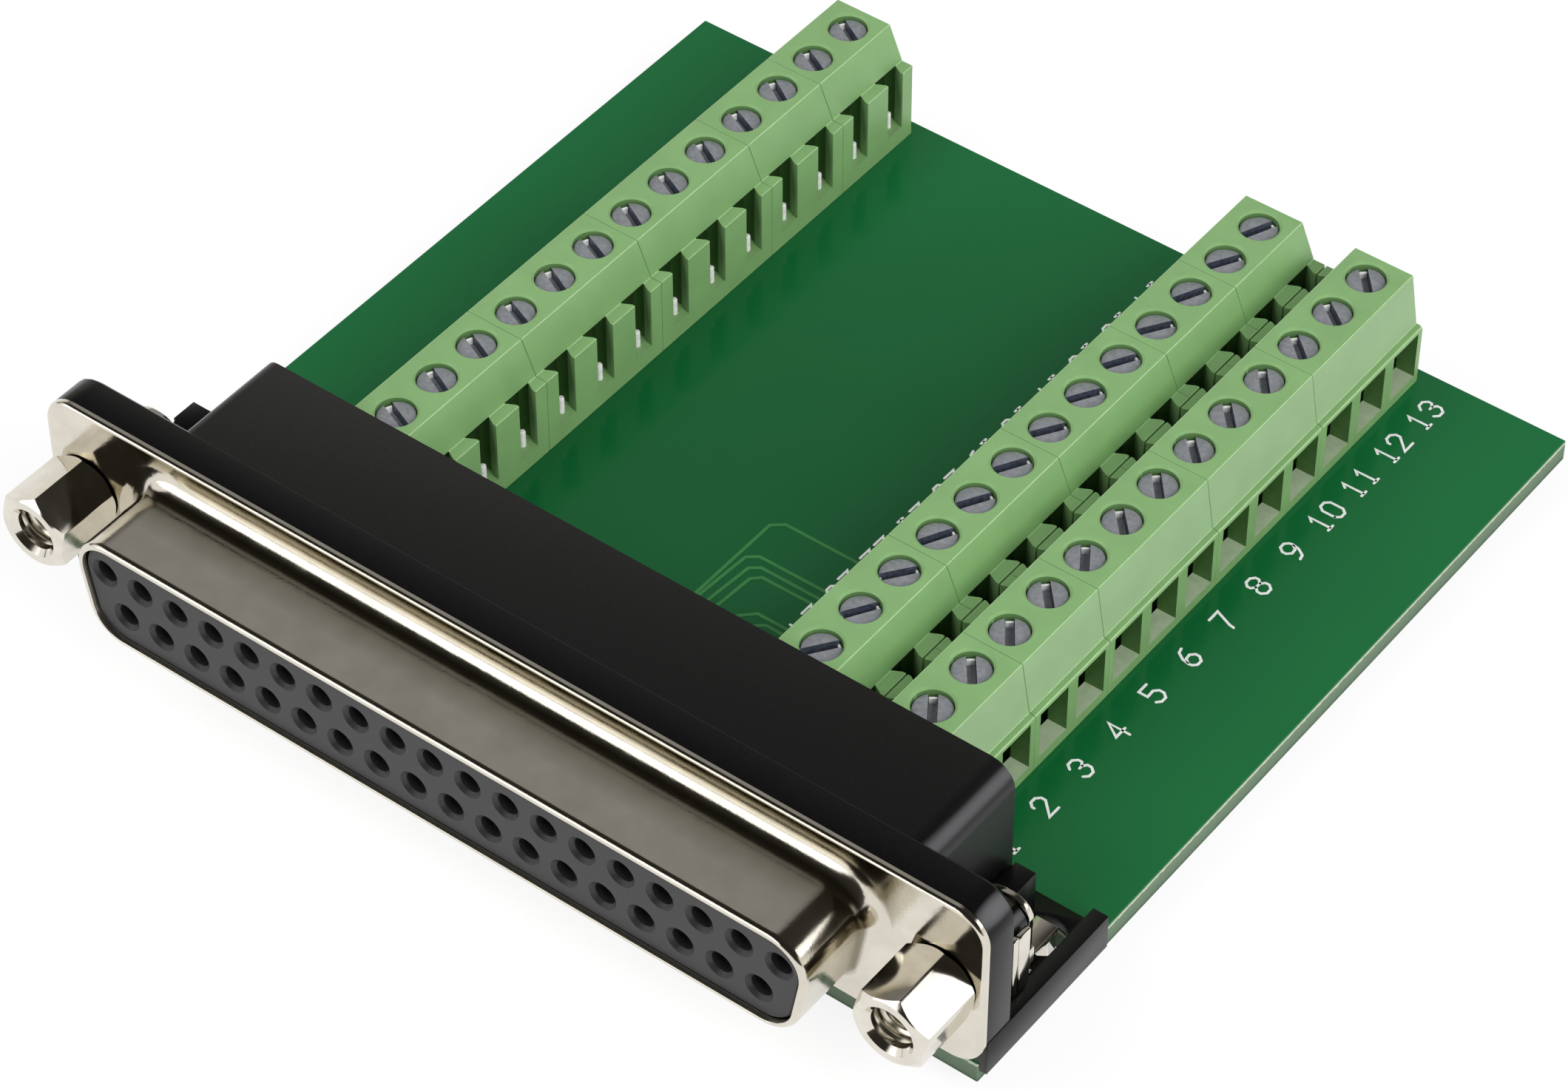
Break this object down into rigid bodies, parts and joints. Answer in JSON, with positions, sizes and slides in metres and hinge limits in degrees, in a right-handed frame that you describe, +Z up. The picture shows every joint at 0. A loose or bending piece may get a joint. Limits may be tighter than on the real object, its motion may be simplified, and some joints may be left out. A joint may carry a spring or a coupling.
{
  "type": "d-sub terminal block adapter",
  "caption": "Right-angle D-sub socket connector on a green circuit board, broken out to rows of green screw terminal blocks.",
  "frame": {"origin": "centre of the footprint, on the surface the solder joints stand on", "axes": "+Z up from the board, -Y out of the connector's mating face, +X along the connector to the side with the two neighbouring rows"},
  "size_m": [0.0694, 0.0694, 0.0155],
  "materials": {
    "solder_mask": "glossy green solder mask over glass-fibre board",
    "nickel_sheet": "nickel-plated pressed steel sheet",
    "insert_grey": "dark grey glass-filled moulding",
    "housing_black": "black glass-filled moulding",
    "nickel_jackscrew": "nickel-plated turned brass and sheet",
    "terminal_green": "satin green polyamide",
    "screw_zinc": "zinc-plated steel"
  },
  "bodies": {
    "adapter": {"board": "solder_mask", "dsub_shell": "nickel_sheet", "contact_insert": "insert_grey", "rear_housing": "housing_black", "jackscrew_left": "nickel_jackscrew", "jackscrew_right": "nickel_jackscrew", "left_block_1": "terminal_green", "left_block_2": "terminal_green", "left_block_3": "terminal_green", "left_block_4": "terminal_green", "left_block_5": "terminal_green", "middle_block_1": "terminal_green", "middle_block_2": "terminal_green", "middle_block_3": "terminal_green", "middle_block_4": "terminal_green", "middle_block_5": "terminal_green", "right_block_1": "terminal_green", "right_block_2": "terminal_green", "right_block_3": "terminal_green", "right_block_4": "terminal_green", "right_block_5": "terminal_green"},
    "left_screw_01": {"left_screw_01": "screw_zinc"},
    "left_screw_02": {"left_screw_02": "screw_zinc"},
    "left_screw_03": {"left_screw_03": "screw_zinc"},
    "left_screw_04": {"left_screw_04": "screw_zinc"},
    "left_screw_05": {"left_screw_05": "screw_zinc"},
    "left_screw_06": {"left_screw_06": "screw_zinc"},
    "left_screw_07": {"left_screw_07": "screw_zinc"},
    "left_screw_08": {"left_screw_08": "screw_zinc"},
    "left_screw_09": {"left_screw_09": "screw_zinc"},
    "left_screw_10": {"left_screw_10": "screw_zinc"},
    "left_screw_11": {"left_screw_11": "screw_zinc"},
    "left_screw_12": {"left_screw_12": "screw_zinc"},
    "left_screw_13": {"left_screw_13": "screw_zinc"},
    "middle_screw_01": {"middle_screw_01": "screw_zinc"},
    "middle_screw_02": {"middle_screw_02": "screw_zinc"},
    "middle_screw_03": {"middle_screw_03": "screw_zinc"},
    "middle_screw_04": {"middle_screw_04": "screw_zinc"},
    "middle_screw_05": {"middle_screw_05": "screw_zinc"},
    "middle_screw_06": {"middle_screw_06": "screw_zinc"},
    "middle_screw_07": {"middle_screw_07": "screw_zinc"},
    "middle_screw_08": {"middle_screw_08": "screw_zinc"},
    "middle_screw_09": {"middle_screw_09": "screw_zinc"},
    "middle_screw_10": {"middle_screw_10": "screw_zinc"},
    "middle_screw_11": {"middle_screw_11": "screw_zinc"},
    "middle_screw_12": {"middle_screw_12": "screw_zinc"},
    "middle_screw_13": {"middle_screw_13": "screw_zinc"},
    "right_screw_01": {"right_screw_01": "screw_zinc"},
    "right_screw_02": {"right_screw_02": "screw_zinc"},
    "right_screw_03": {"right_screw_03": "screw_zinc"},
    "right_screw_04": {"right_screw_04": "screw_zinc"},
    "right_screw_05": {"right_screw_05": "screw_zinc"},
    "right_screw_06": {"right_screw_06": "screw_zinc"},
    "right_screw_07": {"right_screw_07": "screw_zinc"},
    "right_screw_08": {"right_screw_08": "screw_zinc"},
    "right_screw_09": {"right_screw_09": "screw_zinc"},
    "right_screw_10": {"right_screw_10": "screw_zinc"},
    "right_screw_11": {"right_screw_11": "screw_zinc"},
    "right_screw_12": {"right_screw_12": "screw_zinc"},
    "right_screw_13": {"right_screw_13": "screw_zinc"}
  },
  "joints": [
    {"name": "left_screw_01_turn", "type": "hinge", "parent": "adapter", "child": "left_screw_01", "pos_m": [-0.01983, -0.01396, 0.01095], "axis": [0, 0, 1], "range_deg": [-1440, 0]},
    {"name": "left_screw_02_turn", "type": "hinge", "parent": "adapter", "child": "left_screw_02", "pos_m": [-0.01983, -0.01014, 0.01095], "axis": [0, 0, 1], "range_deg": [-1440, 0]},
    {"name": "left_screw_03_turn", "type": "hinge", "parent": "adapter", "child": "left_screw_03", "pos_m": [-0.01983, -0.00634, 0.01095], "axis": [0, 0, 1], "range_deg": [-1440, 0]},
    {"name": "left_screw_04_turn", "type": "hinge", "parent": "adapter", "child": "left_screw_04", "pos_m": [-0.01983, -0.00252, 0.01095], "axis": [0, 0, 1], "range_deg": [-1440, 0]},
    {"name": "left_screw_05_turn", "type": "hinge", "parent": "adapter", "child": "left_screw_05", "pos_m": [-0.01983, 0.00128, 0.01095], "axis": [0, 0, 1], "range_deg": [-1440, 0]},
    {"name": "left_screw_06_turn", "type": "hinge", "parent": "adapter", "child": "left_screw_06", "pos_m": [-0.01983, 0.00509, 0.01095], "axis": [0, 0, 1], "range_deg": [-1440, 0]},
    {"name": "left_screw_07_turn", "type": "hinge", "parent": "adapter", "child": "left_screw_07", "pos_m": [-0.01983, 0.0089, 0.01095], "axis": [0, 0, 1], "range_deg": [-1440, 0]},
    {"name": "left_screw_08_turn", "type": "hinge", "parent": "adapter", "child": "left_screw_08", "pos_m": [-0.01983, 0.01272, 0.01095], "axis": [0, 0, 1], "range_deg": [-1440, 0]},
    {"name": "left_screw_09_turn", "type": "hinge", "parent": "adapter", "child": "left_screw_09", "pos_m": [-0.01983, 0.01653, 0.01095], "axis": [0, 0, 1], "range_deg": [-1440, 0]},
    {"name": "left_screw_10_turn", "type": "hinge", "parent": "adapter", "child": "left_screw_10", "pos_m": [-0.01983, 0.02033, 0.01095], "axis": [0, 0, 1], "range_deg": [-1440, 0]},
    {"name": "left_screw_11_turn", "type": "hinge", "parent": "adapter", "child": "left_screw_11", "pos_m": [-0.01983, 0.02414, 0.01095], "axis": [0, 0, 1], "range_deg": [-1440, 0]},
    {"name": "left_screw_12_turn", "type": "hinge", "parent": "adapter", "child": "left_screw_12", "pos_m": [-0.01983, 0.02796, 0.01095], "axis": [0, 0, 1], "range_deg": [-1440, 0]},
    {"name": "left_screw_13_turn", "type": "hinge", "parent": "adapter", "child": "left_screw_13", "pos_m": [-0.01983, 0.03177, 0.01095], "axis": [0, 0, 1], "range_deg": [-1440, 0]},
    {"name": "middle_screw_01_turn", "type": "hinge", "parent": "adapter", "child": "middle_screw_01", "pos_m": [0.01243, -0.01396, 0.01095], "axis": [0, 0, 1], "range_deg": [-1440, 0]},
    {"name": "middle_screw_02_turn", "type": "hinge", "parent": "adapter", "child": "middle_screw_02", "pos_m": [0.01243, -0.01014, 0.01095], "axis": [0, 0, 1], "range_deg": [-1440, 0]},
    {"name": "middle_screw_03_turn", "type": "hinge", "parent": "adapter", "child": "middle_screw_03", "pos_m": [0.01243, -0.00634, 0.01095], "axis": [0, 0, 1], "range_deg": [-1440, 0]},
    {"name": "middle_screw_04_turn", "type": "hinge", "parent": "adapter", "child": "middle_screw_04", "pos_m": [0.01243, -0.00252, 0.01095], "axis": [0, 0, 1], "range_deg": [-1440, 0]},
    {"name": "middle_screw_05_turn", "type": "hinge", "parent": "adapter", "child": "middle_screw_05", "pos_m": [0.01243, 0.00128, 0.01095], "axis": [0, 0, 1], "range_deg": [-1440, 0]},
    {"name": "middle_screw_06_turn", "type": "hinge", "parent": "adapter", "child": "middle_screw_06", "pos_m": [0.01243, 0.00509, 0.01095], "axis": [0, 0, 1], "range_deg": [-1440, 0]},
    {"name": "middle_screw_07_turn", "type": "hinge", "parent": "adapter", "child": "middle_screw_07", "pos_m": [0.01243, 0.0089, 0.01095], "axis": [0, 0, 1], "range_deg": [-1440, 0]},
    {"name": "middle_screw_08_turn", "type": "hinge", "parent": "adapter", "child": "middle_screw_08", "pos_m": [0.01243, 0.01272, 0.01095], "axis": [0, 0, 1], "range_deg": [-1440, 0]},
    {"name": "middle_screw_09_turn", "type": "hinge", "parent": "adapter", "child": "middle_screw_09", "pos_m": [0.01243, 0.01653, 0.01095], "axis": [0, 0, 1], "range_deg": [-1440, 0]},
    {"name": "middle_screw_10_turn", "type": "hinge", "parent": "adapter", "child": "middle_screw_10", "pos_m": [0.01243, 0.02033, 0.01095], "axis": [0, 0, 1], "range_deg": [-1440, 0]},
    {"name": "middle_screw_11_turn", "type": "hinge", "parent": "adapter", "child": "middle_screw_11", "pos_m": [0.01243, 0.02414, 0.01095], "axis": [0, 0, 1], "range_deg": [-1440, 0]},
    {"name": "middle_screw_12_turn", "type": "hinge", "parent": "adapter", "child": "middle_screw_12", "pos_m": [0.01243, 0.02796, 0.01095], "axis": [0, 0, 1], "range_deg": [-1440, 0]},
    {"name": "middle_screw_13_turn", "type": "hinge", "parent": "adapter", "child": "middle_screw_13", "pos_m": [0.01243, 0.03177, 0.01095], "axis": [0, 0, 1], "range_deg": [-1440, 0]},
    {"name": "right_screw_01_turn", "type": "hinge", "parent": "adapter", "child": "right_screw_01", "pos_m": [0.0204, -0.01396, 0.01095], "axis": [0, 0, 1], "range_deg": [-1440, 0]},
    {"name": "right_screw_02_turn", "type": "hinge", "parent": "adapter", "child": "right_screw_02", "pos_m": [0.0204, -0.01014, 0.01095], "axis": [0, 0, 1], "range_deg": [-1440, 0]},
    {"name": "right_screw_03_turn", "type": "hinge", "parent": "adapter", "child": "right_screw_03", "pos_m": [0.0204, -0.00634, 0.01095], "axis": [0, 0, 1], "range_deg": [-1440, 0]},
    {"name": "right_screw_04_turn", "type": "hinge", "parent": "adapter", "child": "right_screw_04", "pos_m": [0.0204, -0.00252, 0.01095], "axis": [0, 0, 1], "range_deg": [-1440, 0]},
    {"name": "right_screw_05_turn", "type": "hinge", "parent": "adapter", "child": "right_screw_05", "pos_m": [0.0204, 0.00128, 0.01095], "axis": [0, 0, 1], "range_deg": [-1440, 0]},
    {"name": "right_screw_06_turn", "type": "hinge", "parent": "adapter", "child": "right_screw_06", "pos_m": [0.0204, 0.00509, 0.01095], "axis": [0, 0, 1], "range_deg": [-1440, 0]},
    {"name": "right_screw_07_turn", "type": "hinge", "parent": "adapter", "child": "right_screw_07", "pos_m": [0.0204, 0.0089, 0.01095], "axis": [0, 0, 1], "range_deg": [-1440, 0]},
    {"name": "right_screw_08_turn", "type": "hinge", "parent": "adapter", "child": "right_screw_08", "pos_m": [0.0204, 0.01272, 0.01095], "axis": [0, 0, 1], "range_deg": [-1440, 0]},
    {"name": "right_screw_09_turn", "type": "hinge", "parent": "adapter", "child": "right_screw_09", "pos_m": [0.0204, 0.01653, 0.01095], "axis": [0, 0, 1], "range_deg": [-1440, 0]},
    {"name": "right_screw_10_turn", "type": "hinge", "parent": "adapter", "child": "right_screw_10", "pos_m": [0.0204, 0.02033, 0.01095], "axis": [0, 0, 1], "range_deg": [-1440, 0]},
    {"name": "right_screw_11_turn", "type": "hinge", "parent": "adapter", "child": "right_screw_11", "pos_m": [0.0204, 0.02414, 0.01095], "axis": [0, 0, 1], "range_deg": [-1440, 0]},
    {"name": "right_screw_12_turn", "type": "hinge", "parent": "adapter", "child": "right_screw_12", "pos_m": [0.0204, 0.02796, 0.01095], "axis": [0, 0, 1], "range_deg": [-1440, 0]},
    {"name": "right_screw_13_turn", "type": "hinge", "parent": "adapter", "child": "right_screw_13", "pos_m": [0.0204, 0.03177, 0.01095], "axis": [0, 0, 1], "range_deg": [-1440, 0]}
  ]
}
